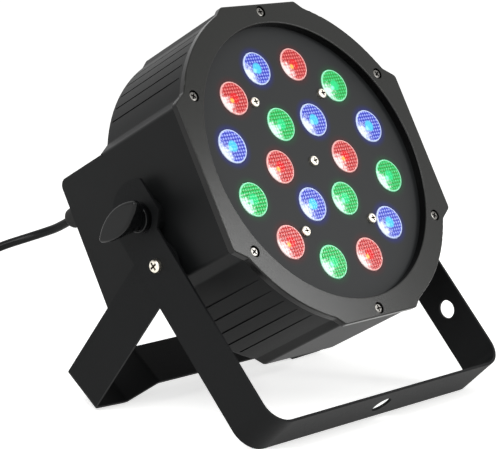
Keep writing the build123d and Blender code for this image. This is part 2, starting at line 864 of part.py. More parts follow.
# Front bracket: a wide U whose arm ends are rounded about the tilt axis and flared to the front
pad_corner_rise = sqrt(strip_back**2 - pad_front**2)
arm_top = strip_back + cut_over
with BuildPart() as front_bracket:
    with BuildSketch(front_frame.offset(-strip_back)):
        with BuildLine():
            FilletPolyline(
                (-bracket_half_width, arm_top),
                (-bracket_half_width, -front_drop),
                (bracket_half_width, -front_drop),
                (bracket_half_width, arm_top),
                radius=bend_radius,
            )
            FilletPolyline(
                (-bracket_half_width + sheet, arm_top),
                (-bracket_half_width + sheet, -front_drop + sheet),
                (bracket_half_width - sheet, -front_drop + sheet),
                (bracket_half_width - sheet, arm_top),
                radius=bend_radius - sheet,
            )
            Line((-bracket_half_width, arm_top), (-bracket_half_width + sheet, arm_top))
            Line((bracket_half_width, arm_top), (bracket_half_width - sheet, arm_top))
        make_face()
    extrude(amount=strip_back + pad_front)
    with BuildSketch(Plane(origin=pivot, x_dir=arm_across, z_dir=(-1, 0, 0))) as arm_profile:
        with BuildLine():
            ThreePointArc((pad_front, pad_corner_rise), (0, strip_back), (-strip_back, 0))
            Polyline(
                (-strip_back, 0),
                (-strip_back, -front_drop - cut_over),
                (strip_width - strip_back, -front_drop - cut_over),
                (strip_width - strip_back, -pad_foot_drop),
                (pad_front, -pad_kink_drop),
                (pad_front, pad_corner_rise),
            )
        make_face()
        fillet(arm_profile.vertices().filter_by(lambda corner: corner.Y > strip_width / 2), pad_corner_round)
    extrude(amount=bracket_half_width + cut_over, both=True, mode=Mode.INTERSECT)
    with Locations(arm_plane(1, bracket_half_width + cut_over, 0, 0)):
        Cylinder(
            stud_radius + running_gap,
            2 * (bracket_half_width + cut_over),
            align=(Align.CENTER, Align.CENTER, Align.MAX),
            mode=Mode.SUBTRACT,
        )
    with Locations(arm_plane(1, bracket_half_width + cut_over, rear_pivot_drop, strip_middle)):
        Cylinder(
            hinge_shank_radius + running_gap,
            2 * (bracket_half_width + cut_over),
            align=(Align.CENTER, Align.CENTER, Align.MAX),
            mode=Mode.SUBTRACT,
        )
    with Locations(arm_plane(1, bracket_half_width + cut_over, front_drop - safety_hole_rise, strip_middle)):
        Cylinder(
            safety_hole_radius,
            sheet + 2 * cut_over,
            align=(Align.CENTER, Align.CENTER, Align.MAX),
            mode=Mode.SUBTRACT,
        )
    clamp_hole = pivot - arm_up * front_drop + arm_across * strip_middle
    with BuildSketch(Plane(origin=clamp_hole, x_dir=(1, 0, 0), z_dir=arm_up)):
        Circle(clamp_hole_radius)
    extrude(amount=sheet + cut_over, both=True, mode=Mode.SUBTRACT)
front_bracket.part.label = "front_bracket"
export_step(front_bracket.part, "parts/front_bracket.step")

# Rear bracket: a narrower U inside the front one, with its crossbar's middle joggled inwards
rear_half_width = bracket_half_width - sheet - rear_side_gap
rear_inner_bend = rear_bend_radius - sheet
fold_inner_radius = fold_radius - sheet
outer_radii = [rear_bend_radius, fold_radius, fold_inner_radius]
inner_radii = [rear_inner_bend, fold_inner_radius, fold_radius]
rear_top = strip_width / 2 + cut_over
bent_below = [
    Vector(-rear_half_width, rear_top),
    Vector(-rear_half_width, foot_rise - rear_drop),
    Vector(-joggle_foot_half, -rear_drop),
    Vector(-joggle_top_half, joggle - rear_drop),
    Vector(joggle_top_half, joggle - rear_drop),
    Vector(joggle_foot_half, -rear_drop),
    Vector(rear_half_width, foot_rise - rear_drop),
    Vector(rear_half_width, rear_top),
]
runs = [(after - before).normalized() for before, after in zip(bent_below, bent_below[1:])]
sides = [Vector(-run.Y, run.X) for run in runs]
bent_above = [bent_below[0] + sides[0] * sheet]
for corner, before, after in zip(bent_below[1:], sides, sides[1:]):
    bent_above.append(corner + (before + after) * (sheet / (1 + before.dot(after))))
bent_above.append(bent_below[-1] + sides[-1] * sheet)
with BuildPart() as rear_bracket:
    with BuildSketch(rear_frame.offset(-strip_width / 2)):
        with BuildLine():
            FilletPolyline(*bent_below, radius=outer_radii + outer_radii[::-1])
            FilletPolyline(*bent_above, radius=inner_radii + inner_radii[::-1])
            Line(bent_below[0], bent_above[0])
            Line(bent_below[-1], bent_above[-1])
        make_face()
    extrude(amount=strip_width)
    with BuildSketch(Plane(origin=hinge, x_dir=rear_across, z_dir=(-1, 0, 0))):
        Circle(strip_width / 2)
        with Locations((0, -(rear_drop + cut_over) / 2)):
            Rectangle(strip_width, rear_drop + cut_over)
    extrude(amount=bracket_half_width, both=True, mode=Mode.INTERSECT)
    with Locations(arm_plane(1, bracket_half_width, rear_pivot_drop, strip_middle)):
        Cylinder(
            hinge_shank_radius + running_gap,
            2 * bracket_half_width,
            align=(Align.CENTER, Align.CENTER, Align.MAX),
            mode=Mode.SUBTRACT,
        )
    with BuildSketch(Plane(origin=hinge - rear_up * (rear_drop - joggle), x_dir=(1, 0, 0), z_dir=rear_up)):
        Circle(clamp_hole_radius)
    extrude(amount=sheet + cut_over, both=True, mode=Mode.SUBTRACT)
rear_bracket.part.label = "rear_bracket"
export_step(rear_bracket.part, "parts/rear_bracket.step")

# The rear bracket's hinge screws, seen outside, with a washer between the arms and a nut inside
hinge_washer_seat = bracket_half_width - sheet
hinge_nut_seat = rear_half_width - sheet - body_gap
hinge_screw_length = bracket_half_width - hinge_nut_seat + hinge_nut_thickness + hinge_screw_tail
with BuildPart() as bracket_screws:
    for side in (1, -1):
        with Locations(arm_plane(side, bracket_half_width, rear_pivot_drop, strip_middle)):
            add(
                cross_screw(
                    hinge_head_radius,
                    hinge_head_height,
                    hinge_shank_radius,
                    hinge_screw_length,
                    hinge_recess_arm,
                    hinge_recess_reach,
                    hinge_recess_depth,
                )
            )
bracket_screws.part.label = "bracket_screws"
export_step(bracket_screws.part, "parts/bracket_screws.step")

with BuildPart() as bracket_washers:
    for side in (1, -1):
        with BuildSketch(arm_plane(side, hinge_washer_seat, rear_pivot_drop, strip_middle)):
            Circle(hinge_washer_radius)
            Circle(hinge_shank_radius, mode=Mode.SUBTRACT)
        extrude(amount=-hinge_washer_thickness)
bracket_washers.part.label = "bracket_washers"
export_step(bracket_washers.part, "parts/bracket_washers.step")

with BuildPart() as bracket_nuts:
    for side in (1, -1):
        with BuildSketch(arm_plane(side, hinge_nut_seat, rear_pivot_drop, strip_middle)):
            RegularPolygon(hinge_nut_radius, nut_sides)
            Circle(hinge_shank_radius, mode=Mode.SUBTRACT)
        extrude(amount=-hinge_nut_thickness)
bracket_nuts.part.label = "bracket_nuts"
export_step(bracket_nuts.part, "parts/bracket_nuts.step")

# Power board with its parts
with BuildPart() as power_board:
    with BuildSketch(at_depth(power_board_back)):
        Rectangle(power_board_width, power_board_height)
        with Locations(*power_post_places):
            Circle(small_shank_radius + running_gap, mode=Mode.SUBTRACT)
    extrude(amount=board_thickness)
power_board.part.label = "power_board"
export_step(power_board.part, "parts/power_board.step")

with BuildPart(at_depth(power_board_depth)) as power_board_screws:
    with Locations(*power_post_places):
        add(small_screw(board_screw_length))
power_board_screws.part.label = "power_board_screws"
export_step(power_board_screws.part, "parts/power_board_screws.step")

with BuildPart() as transformer:
    with BuildSketch(at_depth(power_board_depth)):
        with Locations((transformer_x, transformer_y)):
            Rectangle(transformer_width, transformer_height)
    extrude(amount=winding_flange)
    with BuildSketch(at_depth(power_board_depth)):
        with Locations((transformer_x, transformer_y)):
            RectangleRounded(
                transformer_width - 2 * winding_flange,
                transformer_height - 2 * winding_flange,
                winding_flange,
            )
    extrude(amount=transformer_depth)
    with BuildSketch(at_depth(power_board_depth - transformer_depth + winding_flange)):
        with Locations((transformer_x, transformer_y)):
            Rectangle(transformer_width, transformer_height)
    extrude(amount=winding_flange)
transformer.part.label = "transformer"
export_step(transformer.part, "parts/transformer.step")

with BuildPart() as capacitors:
    for radius, height, y in zip(capacitor_radii, capacitor_heights, capacitor_y):
        with BuildSketch(at_depth(power_board_depth)):
            with Locations((capacitor_x, y)):
                Circle(radius)
        extrude(amount=height)
capacitors.part.label = "capacitors"
export_step(capacitors.part, "parts/capacitors.step")

with BuildPart() as rectifier:
    with BuildSketch(at_depth(power_board_depth)):
        with Locations((rectifier_x, rectifier_y)):
            Rectangle(rectifier_width, rectifier_height)
    extrude(amount=rectifier_depth)
rectifier.part.label = "rectifier"
export_step(rectifier.part, "parts/rectifier.step")

with BuildPart() as terminal_block:
    with BuildSketch(at_depth(power_board_back)):
        with Locations((terminal_x, terminal_y)):
            Rectangle(terminal_width, terminal_height)
    extrude(amount=-terminal_depth)
    with BuildSketch(at_depth(power_board_back + terminal_depth)):
        with Locations((terminal_x, terminal_y)):
            with GridLocations(0, terminal_pitch, 1, terminal_count):
                Circle(terminal_screw_radius)
    extrude(amount=terminal_screw_depth, mode=Mode.SUBTRACT)
terminal_block.part.label = "terminal_block"
export_step(terminal_block.part, "parts/terminal_block.step")

# Control board, display, buttons and microphone behind the rear wall
with BuildPart() as control_board:
    with BuildSketch(at_depth(control_board_depth)):
        with Locations((control_board_x, control_board_y)):
            Rectangle(control_board_width, control_board_height)
        with Locations(*control_post_places):
            Circle(small_shank_radius + running_gap, mode=Mode.SUBTRACT)
    extrude(amount=board_thickness)
control_board.part.label = "control_board"
export_step(control_board.part, "parts/control_board.step")

with BuildPart(at_depth(control_board_front)) as control_board_screws:
    with Locations(*control_post_places):
        add(small_screw(board_screw_length))
control_board_screws.part.label = "control_board_screws"
export_step(control_board_screws.part, "parts/control_board_screws.step")

with BuildPart() as display:
    with BuildSketch(at_depth(control_board_depth)):
        with Locations(display_center):
            Rectangle(display_width, display_height)
    extrude(amount=-display_depth)
display.part.label = "display"
export_step(display.part, "parts/display.step")

with BuildPart() as display_window:
    with BuildSketch(at_depth(rear_wall_inside)):
        with Locations(display_center):
            Rectangle(display_width + 4 * window_margin, display_height + 4 * window_margin)
    extrude(amount=window_flange)
    with BuildSketch(at_depth(rear_wall_inside)):
        with Locations(display_center):
            Rectangle(display_width + 2 * window_margin, display_height + 2 * window_margin)
    extrude(amount=-window_thickness)
display_window.part.label = "display_window"
export_step(display_window.part, "parts/display_window.step")

with BuildPart() as tact_switches:
    with BuildSketch(at_depth(control_board_depth)):
        with Locations(*button_places):
            Rectangle(switch_width, switch_width)
    extrude(amount=-switch_height)
tact_switches.part.label = "tact_switches"
export_step(tact_switches.part, "parts/tact_switches.step")

button_flange_depth = rear_wall_inside - body_gap
button_stem_end = control_board_depth + switch_height + body_gap + button_travel
for count, place in enumerate(button_places):
    with BuildPart() as button:
        with BuildSketch(at_depth(button_flange_depth)):
            with Locations(place):
                Circle(button_flange_radius)
        extrude(amount=button_flange_thickness)
        with BuildSketch(at_depth(button_flange_depth)):
            with Locations(place):
                Circle(button_stem_radius)
        extrude(amount=button_flange_depth - button_stem_end)
        with BuildSketch(at_depth(button_flange_depth)):
            with Locations(place):
                Circle(button_radius)
        extrude(amount=button_flange_depth - block_depth - button_proud)
        fillet(button.edges().sort_by(lambda rim: face.to_local_coords(rim.center()).Z)[0], rim_round)
    button.part.label = "button_" + str(count + 1)
    export_step(button.part, "parts/button_" + str(count + 1) + ".step")

with BuildPart() as microphone:
    with BuildSketch(at_depth(control_board_depth)):
        with Locations((microphone_x, microphone_rise)):
            Circle(microphone_radius)
    extrude(amount=-microphone_height)
microphone.part.label = "microphone"
export_step(microphone.part, "parts/microphone.step")

# Fan
fan_front = rear_wall_inside - fan_thickness
fan_mount_end = fan_front + fan_mount_thickness
rotor_front = fan_mount_end + body_gap
rotor_back = rear_wall_inside - body_gap
with BuildPart() as fan_frame:
    with BuildSketch(at_depth(rear_wall_inside)):
        with Locations((fan_x, 0)):
            RectangleRounded(fan_size, fan_size, fan_corner_round)
            Circle(fan_bore_radius, mode=Mode.SUBTRACT)
        with Locations(*fan_screw_places):
            Circle(small_shank_radius, mode=Mode.SUBTRACT)
    extrude(amount=fan_thickness)
    with BuildSketch(at_depth(fan_front)):
        with Locations((fan_x, 0)):
            Rectangle(2 * fan_bore_radius, fan_spoke_width, rotation=full_turn / 8)
            Rectangle(2 * fan_bore_radius, fan_spoke_width, rotation=-full_turn / 8)
            Circle(fan_hub_radius)
    extrude(amount=-fan_spoke_thickness)
    with BuildSketch(at_depth(fan_front)):
        with Locations((fan_x, 0)):
            Circle(fan_mount_radius)
    extrude(amount=-fan_mount_thickness)
    with BuildSketch(at_depth(fan_front)):
        with Locations((fan_x, 0)):
            Circle(fan_shaft_radius + running_gap)
    extrude(amount=-fan_mount_thickness, mode=Mode.SUBTRACT)
fan_frame.part.label = "fan_frame"
export_step(fan_frame.part, "parts/fan_frame.step")

blade_start = fan_hub_radius - fan_hub_wall
with BuildPart(at_depth((rotor_front + rotor_back) / 2)) as fan_rotor:
    with Locations((fan_x, 0)):
        Cylinder(fan_hub_radius, rotor_back - rotor_front)
        with PolarLocations((blade_start + fan_blade_reach) / 2, fan_blade_count):
            Box(
                fan_blade_reach - blade_start,
                fan_blade_thickness,
                fan_blade_width,
                rotation=(fan_blade_pitch, 0, 0),
            )
    with BuildSketch(at_depth(rotor_front)):
        with Locations((fan_x, 0)):
            Circle(fan_shaft_radius)
    extrude(amount=fan_mount_thickness)
fan_rotor.part.label = "fan_rotor"
export_step(fan_rotor.part, "parts/fan_rotor.step")

with BuildPart(behind(block_depth)) as fan_screws:
    with Locations(*fan_screw_places):
        add(small_screw(fan_screw_length))
fan_screws.part.label = "fan_screws"
export_step(fan_screws.part, "parts/fan_screws.step")

# Signal sockets
contact_places = ring_places(contact_circle, contact_angles)
socket_face = block_depth + socket_flange_thickness
cup_floor = socket_face - insert_face_depth
with BuildPart() as signal_in:
    with BuildSketch(at_depth(block_depth)):
        with Locations(socket_in_place):
            Circle(socket_flange_radius)
    extrude(amount=-socket_flange_thickness)
    with BuildSketch(at_depth(block_depth)):
        with Locations(socket_in_place):
            Circle(socket_outer_radius)
    extrude(amount=block_depth - cup_floor + socket_floor)
    with BuildSketch(at_depth(socket_face)):
        with Locations(socket_in_place):
            Circle(socket_cup_radius)
    extrude(amount=insert_face_depth, mode=Mode.SUBTRACT)
signal_in.part.label = "signal_in_socket"
export_step(signal_in.part, "parts/signal_in_socket.step")

with BuildPart() as signal_in_pins:
    with BuildSketch(at_depth(cup_floor)):
        with Locations(socket_in_place):
            with Locations(*contact_places):
                Circle(contact_radius)
    extrude(amount=-contact_height)
    rims = signal_in_pins.edges().group_by(lambda rim: face.to_local_coords(rim.center()).Z)[0]
    fillet(rims, contact_radius / 2)
signal_in_pins.part.label = "signal_in_pins"
export_step(signal_in_pins.part, "parts/signal_in_pins.step")

with BuildPart() as signal_out:
    with BuildSketch(at_depth(block_depth)):
        with Locations(socket_out_place):
            Circle(socket_flange_radius)
    extrude(amount=-socket_flange_thickness)
    with BuildSketch(at_depth(block_depth)):
        with Locations(socket_out_place):
            Circle(socket_outer_radius)
    extrude(amount=block_depth - cup_floor + socket_floor)
    with BuildSketch(at_depth(socket_face)):
        with Locations(socket_out_place):
            Circle(socket_cup_radius)
            Circle(insert_face_radius, mode=Mode.SUBTRACT)
    extrude(amount=contact_height, mode=Mode.SUBTRACT)
    with BuildSketch(at_depth(socket_face)):
        with Locations(socket_out_place):
            with Locations(*contact_places):
                Circle(contact_radius + 2 * sleeve_wall)
    extrude(amount=insert_face_depth, mode=Mode.SUBTRACT)
signal_out.part.label = "signal_out_socket"
export_step(signal_out.part, "parts/signal_out_socket.step")

with BuildPart() as signal_out_sleeves:
    with BuildSketch(at_depth(cup_floor)):
        with Locations(socket_out_place):
            with Locations(*contact_places):
                Circle(contact_radius + 2 * sleeve_wall)
                Circle(contact_radius + sleeve_wall, mode=Mode.SUBTRACT)
    extrude(amount=-contact_height)
signal_out_sleeves.part.label = "signal_out_sleeves"
export_step(signal_out_sleeves.part, "parts/signal_out_sleeves.step")

# Mains cord: its gland in the housing's rear wall
with BuildPart() as cord_gland:
    with BuildSketch(at_depth(block_depth)):
        with Locations(gland_place):
            Circle(gland_flange_radius)
    extrude(amount=-gland_flange_thickness)
    with Locations(behind(block_depth + gland_flange_thickness, gland_x, gland_rise)):
        Cylinder(
            gland_dome_radius,
            gland_dome_height,
            align=(Align.CENTER, Align.CENTER, Align.MIN),
        )
    dome_end = cord_gland.faces().sort_by(lambda side: face.to_local_coords(side.center()).Z)[0]
    fillet(dome_end.edges(), gland_dome_round)
    with BuildSketch(at_depth(block_depth)):
        with Locations(gland_place):
            Circle(gland_barrel_radius)
    extrude(amount=gland_barrel_length)
cord_gland.part.label = "cord_gland"
export_step(cord_gland.part, "parts/cord_gland.step")


def cord_tube(points):
    """A cord along straight runs joined by tangent arcs, as wide as each corner allows."""
    radii = []
    for before, corner, after in zip(points, points[1:], points[2:]):
        arriving = corner - before
        leaving = after - corner
        half_angle = radians(arriving.get_angle(leaving) / 2)
        radii.append(corner_share * min(arriving.length, leaving.length) / tan(half_angle))
    with BuildPart() as tube:
        with BuildLine() as run:
            FilletPolyline(*points, radius=radii)
        with BuildSketch(Plane(origin=points[0], z_dir=points[1] - points[0])):
            Circle(cord_diameter / 2)
        sweep()
    print("cord radii", [round(radius, 1) for radius in radii])
    return tube.part, sum(piece.length for piece in run.edges())


cord_rest = cord_diameter / 2 + cord_lift
cord_start = face.from_local_coords(
    (gland_x, gland_rise, -(block_depth + gland_flange_thickness + gland_dome_height))
)
coil_x = cord_start.X + coil_across
coil_y = cord_start.Y + coil_behind
coil_left = coil_x - coil_outer_radius
cord_points = [cord_start, cord_start - face_out * cord_first_run]
for (across, back), share in zip(cord_way, cord_height_shares):
    cord_points.append(Vector(cord_start.X + across, cord_start.Y + back, cord_start.Z * share))
cord_points += [
    Vector(coil_left, coil_y - cord_diameter - cord_last_run, cord_rest),
    Vector(coil_left, coil_y - cord_diameter, cord_rest),
]
power_cord, power_cord_length = cord_tube(cord_points)
power_cord.label = "power_cord"
export_step(power_cord, "parts/power_cord.step")
cord_section = pi * cord_diameter**2 / 4
print("cord length", power_cord_length, "volume ratio", power_cord.volume / power_cord_length / cord_section)

# The put-away coil: flat turns inwards on the floor, a climb, and turns outwards on top of them
coil_quarter_count = coil_in_count + coil_up_count + coil_out_count
turning_quarter = coil_in_count + coil_up_count / 2


def coil_point(quarter):
    """The coil's middle line after a number of quarter turns."""
    inward = min(quarter, 2 * turning_quarter - quarter)
    radius = coil_outer_radius - coil_pitch * inward / 4
    angle = radians(half_turn - quarter * full_turn / 4)
    climb = min(max((quarter - coil_in_count) / coil_up_count, 0), 1)
    return Vector(coil_x + radius * cos(angle), coil_y + radius * sin(angle), cord_rest + coil_pitch * climb)


def coil_heading(quarter):
    """The coil's direction there; the two ends and the innermost point run square to the radius."""
    angle = radians(half_turn - quarter * full_turn / 4)
    around = Vector(sin(angle), -cos(angle), 0)
    outward = Vector(cos(angle), sin(angle), 0)
    radius = coil_outer_radius - coil_pitch * min(quarter, 2 * turning_quarter - quarter) / 4
    slope = coil_pitch / (2 * pi * radius)
    if quarter == turning_quarter:
        climb_slope = climb_share * coil_pitch / (coil_up_count * pi * radius / 2)
        return (around + Vector(0, 0, climb_slope)).normalized()
    if quarter in (0, coil_quarter_count):
        return around
    return (around + outward * slope * (-1 if quarter < turning_quarter else 1)).normalized()


coil_start = coil_point(0) - coil_heading(0) * cord_diameter
coil_end = coil_point(coil_quarter_count) + coil_heading(coil_quarter_count) * coil_tail
with BuildPart() as cord_coil:
    with BuildLine() as coil_run:
        Line(coil_start, coil_point(0))
        for quarter in range(coil_quarter_count):
            start, end = coil_point(quarter), coil_point(quarter + 1)
            leave, arrive = coil_heading(quarter), coil_heading(quarter + 1)
            chord = end - start
            both = leave + arrive
            turn = 2 * (1 - leave.dot(arrive))
            reach = (sqrt(chord.dot(both) ** 2 + turn * chord.dot(chord)) - chord.dot(both)) / turn
            joint = (start + end + (leave - arrive) * reach) / 2
            TangentArc(start, joint, tangent=leave)
            TangentArc(joint, end, tangent=chord - both * reach)
        Line(coil_point(coil_quarter_count), coil_end)
    with BuildSketch(Plane(origin=coil_start, z_dir=coil_heading(0))):
        Circle(cord_diameter / 2)
    sweep()
cord_coil.part.label = "cord_coil"
export_step(cord_coil.part, "parts/cord_coil.step")
coil_length = sum(piece.length for piece in coil_run.edges())
coil_shares = [count / coil_sample_count for count in range(coil_sample_count)]
coil_dots = [piece @ share for piece in coil_run.edges() for share in coil_shares]
coil_skip = coil_sample_count * 4
coil_gaps = [
    (first - second).length - cord_diameter
    for count, first in enumerate(coil_dots)
    for second in coil_dots[count + coil_skip:]
]
print("coil gap to itself", min(coil_gaps))
print("coil length", coil_length, "volume ratio", cord_coil.part.volume / coil_length / cord_section)

# Plug: a tapered relief, a flat body and two pins
plug_frame = Plane(origin=coil_end, x_dir=(0, 1, 0), z_dir=(1, 0, 0))
with BuildPart() as plug:
    with BuildSketch(plug_frame):
        Circle(plug_relief_radius)
    with BuildSketch(plug_frame.offset(plug_relief_length)):
        RectangleRounded(plug_neck_width, plug_neck_width, plug_round)
    loft()
    with BuildSketch(plug_frame.offset(plug_relief_length)):
        RectangleRounded(plug_neck_width, plug_neck_width, plug_round)
    with BuildSketch(plug_frame.offset(plug_relief_length + plug_length / 2)):
        RectangleRounded(plug_width, plug_thickness, plug_round)
    loft()
    with BuildSketch(plug_frame.offset(plug_relief_length + plug_length / 2)):
        RectangleRounded(plug_width, plug_thickness, plug_round)
    extrude(amount=plug_length / 2)
plug.part.label = "plug"
export_step(plug.part, "parts/plug.step")

with BuildPart() as plug_pins:
    with BuildSketch(plug_frame.offset(plug_relief_length + plug_length)):
        with GridLocations(plug_pin_spacing, 0, 2, 1):
            Circle(plug_pin_radius)
    extrude(amount=plug_pin_length)
    fillet(plug_pins.edges().group_by(Axis.X)[-1], plug_pin_radius / 2)
plug_pins.part.label = "plug_pins"
export_step(plug_pins.part, "parts/plug_pins.step")
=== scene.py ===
import bmesh
import bpy
from math import cos, pi, radians, sin
from mathutils import Matrix, Vector


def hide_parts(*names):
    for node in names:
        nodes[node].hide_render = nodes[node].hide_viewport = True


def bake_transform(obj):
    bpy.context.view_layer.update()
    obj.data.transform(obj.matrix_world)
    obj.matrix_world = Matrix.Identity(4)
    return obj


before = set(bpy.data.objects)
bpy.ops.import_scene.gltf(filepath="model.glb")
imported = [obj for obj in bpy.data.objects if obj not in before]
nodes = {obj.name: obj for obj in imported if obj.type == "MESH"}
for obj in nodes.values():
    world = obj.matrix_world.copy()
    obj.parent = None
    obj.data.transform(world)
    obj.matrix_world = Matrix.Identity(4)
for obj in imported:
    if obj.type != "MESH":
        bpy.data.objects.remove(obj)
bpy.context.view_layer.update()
scene = bpy.context.scene
scene.view_settings.view_transform = "Standard"
MM = 0.001

# The lamp head's own frame: x across, y up the face, z out of it, from the lamp plate's front
TILT = radians(30.2)
FACE_UP = Vector((0, sin(TILT), cos(TILT)))
FACE_OUT = Vector((0, -cos(TILT), sin(TILT)))
FACE_CENTRE = Vector((0, -19.793, 132.283)) * MM
# The line on which both brackets' arms are screwed together
HINGE = Vector((0, 1.873, 86.131)) * MM


def head_point(x, y, z):
    """A point of the head's frame, in millimetres, as a place in the row frame, in metres."""
    return FACE_CENTRE + Vector((1, 0, 0)) * x * MM + FACE_UP * y * MM + FACE_OUT * z * MM


# Camera, recovered from the photograph
CAMERA_PLACE = (-0.9115, -0.78637, 0.32082)
CAMERA_RIGHT = Vector((0.6668, -0.7451, 0.0176))
CAMERA_AHEAD = Vector((0.7345, 0.6531, -0.1842))
camera_data = bpy.data.cameras.new("camera")
camera_data.lens = 163.7
camera_data.sensor_width = 36
camera = bpy.data.objects.new("camera", camera_data)
scene.collection.objects.link(camera)
above = CAMERA_RIGHT.cross(CAMERA_AHEAD).normalized()
right = CAMERA_AHEAD.cross(above).normalized()
turned = Matrix((right, above, -CAMERA_AHEAD)).transposed().to_4x4()
camera.matrix_world = Matrix.Translation(CAMERA_PLACE) @ turned
scene.camera = camera

# Mains cord: from the gland, out of the picture, down to the floor and round its put-away coil
CORD_WIDTH = 4.8
CORD_SIDES = 20
FLOOR_GAP = 0.1
CORD_REST = CORD_WIDTH / 2 + FLOOR_GAP
GLAND_EXIT = (-81.0, 20.2, -104.2)
EXIT_RUN = 10
CORD_WAY = (
    (-84.0, 98.2, 88.4),
    (-90.0, 106.6, 84.7),
    (-99.5, 113.6, 81.2),
    (-111.5, 120.1, 76.0),
    (-124.0, 128.1, 66.0),
    (-135.0, 137.6, 52.1),
    (-143.0, 148.1, 36.2),
    (-147.8, 159.6, 21.3),
    (-149.6, 171.6, 8.9),
    (-149.7, 185.6, CORD_REST),
    (-149.7, 197.1, CORD_REST),
)
# Over this way, back and down, the cord stops following the lamp head's tilt
COIL_CENTRE = (-116.0, 203.896)
COIL_RADIUS = 33.7
COIL_PITCH = 5.35
COIL_TAIL = 18.0
QUARTERS_IN = 12
QUARTERS_UP = 2
QUARTERS_OUT = 11
QUARTER_POINTS = 4
# A spline of this order runs a little inside its points, so they stand a little further out
OUTWARD = 1.013

cord_exit = head_point(*GLAND_EXIT)
cord_route = [cord_exit, cord_exit - FACE_OUT * EXIT_RUN * MM]
cord_route += [Vector(point) * MM for point in CORD_WAY]
quarters = QUARTERS_IN + QUARTERS_UP + QUARTERS_OUT
innermost = QUARTERS_IN + QUARTERS_UP / 2
for step in range(quarters * QUARTER_POINTS + 1):
    quarter = step / QUARTER_POINTS
    inward = min(quarter, 2 * innermost - quarter)
    radius = (COIL_RADIUS - COIL_PITCH * inward / 4) * (OUTWARD if 0 < step else 1)
    angle = pi - quarter * pi / 2
    climb = min(max((quarter - QUARTERS_IN) / QUARTERS_UP, 0), 1)
    climb = climb * climb * (3 - 2 * climb)
    cord_route.append(
        Vector((
            COIL_CENTRE[0] + radius * cos(angle),
            COIL_CENTRE[1] + radius * sin(angle),
            CORD_REST + COIL_PITCH * climb,
        )) * MM
    )
coil_end = COIL_RADIUS - COIL_PITCH * (2 * innermost - quarters) / 4
cord_route[-1] = Vector((COIL_CENTRE[0], COIL_CENTRE[1] + coil_end, CORD_REST + COIL_PITCH)) * MM
cord_route.append(cord_route[-1] + Vector((COIL_TAIL / 2 * MM, 0, 0)))
cord_route.append(cord_route[-2] + Vector((COIL_TAIL * MM, 0, 0)))

route_curve = bpy.data.curves.new("cord_route", "CURVE")
route_curve.dimensions = "3D"
route_curve.resolution_u = 8
spline = route_curve.splines.new("NURBS")
spline.points.add(len(cord_route) - 1)
for point, place in zip(spline.points, cord_route):
    point.co = (*place, 1)
spline.order_u = 3
spline.use_endpoint_u = True
route = bpy.data.objects.new("cord_route", route_curve)
scene.collection.objects.link(route)
bpy.context.view_layer.update()
route_mesh = bpy.data.meshes.new_from_object(route.evaluated_get(bpy.context.evaluated_depsgraph_get()))
cord_line = [vertex.co.copy() for vertex in route_mesh.vertices]
bpy.data.objects.remove(route)


def new_piece(name, mesh):
    """An object of its own in the row frame."""
    piece = bpy.data.objects.new(name, mesh)
    scene.collection.objects.link(piece)
    return piece


def tube_mesh(name, line, radius, sides):
    """A round tube along a line, its ends closed, turned as little as the line allows."""
    mesh = bpy.data.meshes.new(name)
    shape = bmesh.new()
    heading = (line[1] - line[0]).normalized()
    side = heading.orthogonal().normalized()
    angles = [2 * pi * k / sides for k in range(sides)]
    rings = []
    for count, place in enumerate(line):
        before, after = line[max(count - 1, 0)], line[min(count + 1, len(line) - 1)]
        turned = (after - before).normalized()
        side = (heading.rotation_difference(turned) @ side).normalized()
        heading = turned
        across = heading.cross(side)
        rings.append([shape.verts.new(place + (side * cos(a) + across * sin(a)) * radius) for a in angles])
    for low, high in zip(rings, rings[1:]):
        for k in range(sides):
            shape.faces.new((low[k], low[(k + 1) % sides], high[(k + 1) % sides], high[k]))
    shape.faces.new(rings[0][::-1])
    shape.faces.new(rings[-1])
    for face in shape.faces:
        face.smooth = len(face.verts) == 4
    bmesh.ops.recalc_face_normals(shape, faces=shape.faces)
    shape.to_mesh(mesh)
    shape.free()
    return mesh


cord = new_piece("mains_cord", tube_mesh("mains_cord", cord_line, CORD_WIDTH / 2 * MM, CORD_SIDES))
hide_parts("power_cord", "cord_coil")
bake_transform(cord)


# Materials
# A colour mix and a map range have sockets that share a name, so these go by their numbers
UNDER, OVER, MIXED = 6, 7, 2
FROM_LOW, FROM_HIGH, TO_LOW, TO_HIGH = 1, 2, 3, 4


def linear(hex_colour):
    """An sRGB hex colour as linear red, green, blue and alpha."""
    parts = [int(hex_colour[k:k + 2], 16) / 255 for k in (1, 3, 5)]
    return (*[c / 12.92 if c <= 0.04045 else ((c + 0.055) / 1.055) ** 2.4 for c in parts], 1)


def add_node(tree, kind, settings=None, values=None, links=None):
    """Adds a node with its settings, its sockets' values and the links that come into it."""
    made = tree.nodes.new(kind)
    for key, value in (settings or {}).items():
        setattr(made, key, value)
    for key, value in (values or {}).items():
        made.inputs[key].default_value = value
    for key, source in (links or {}).items():
        tree.links.new(source, made.inputs[key])
    return made


def new_material(name):
    """A material with an empty tree, and that tree."""
    made = bpy.data.materials.new(name)
    made.use_nodes = True
    tree = made.node_tree
    tree.nodes.clear()
    return made, tree


def finish_material(tree, shader):
    """Gives a material's tree its output."""
    add_node(tree, "ShaderNodeOutputMaterial", links={"Surface": shader.outputs[0]})


def laid_over(tree, share, under, over):
    """A colour laid over another one, or over what a socket gives, where a share says so."""
    values, links = {OVER: linear(over)}, {0: share}
    if isinstance(under, str):
        values[UNDER] = linear(under)
    else:
        links[UNDER] = under
    return add_node(tree, "ShaderNodeMix", {"data_type": "RGBA"}, values, links).outputs[MIXED]


# The cosine of a surface's turn from the lamp face for the painted side shade: up to the first it is a side
# and fully shaded, from the second it isn't
SIDE_SHADE_ALL, SIDE_SHADE_NONE = 0.35, 0.75
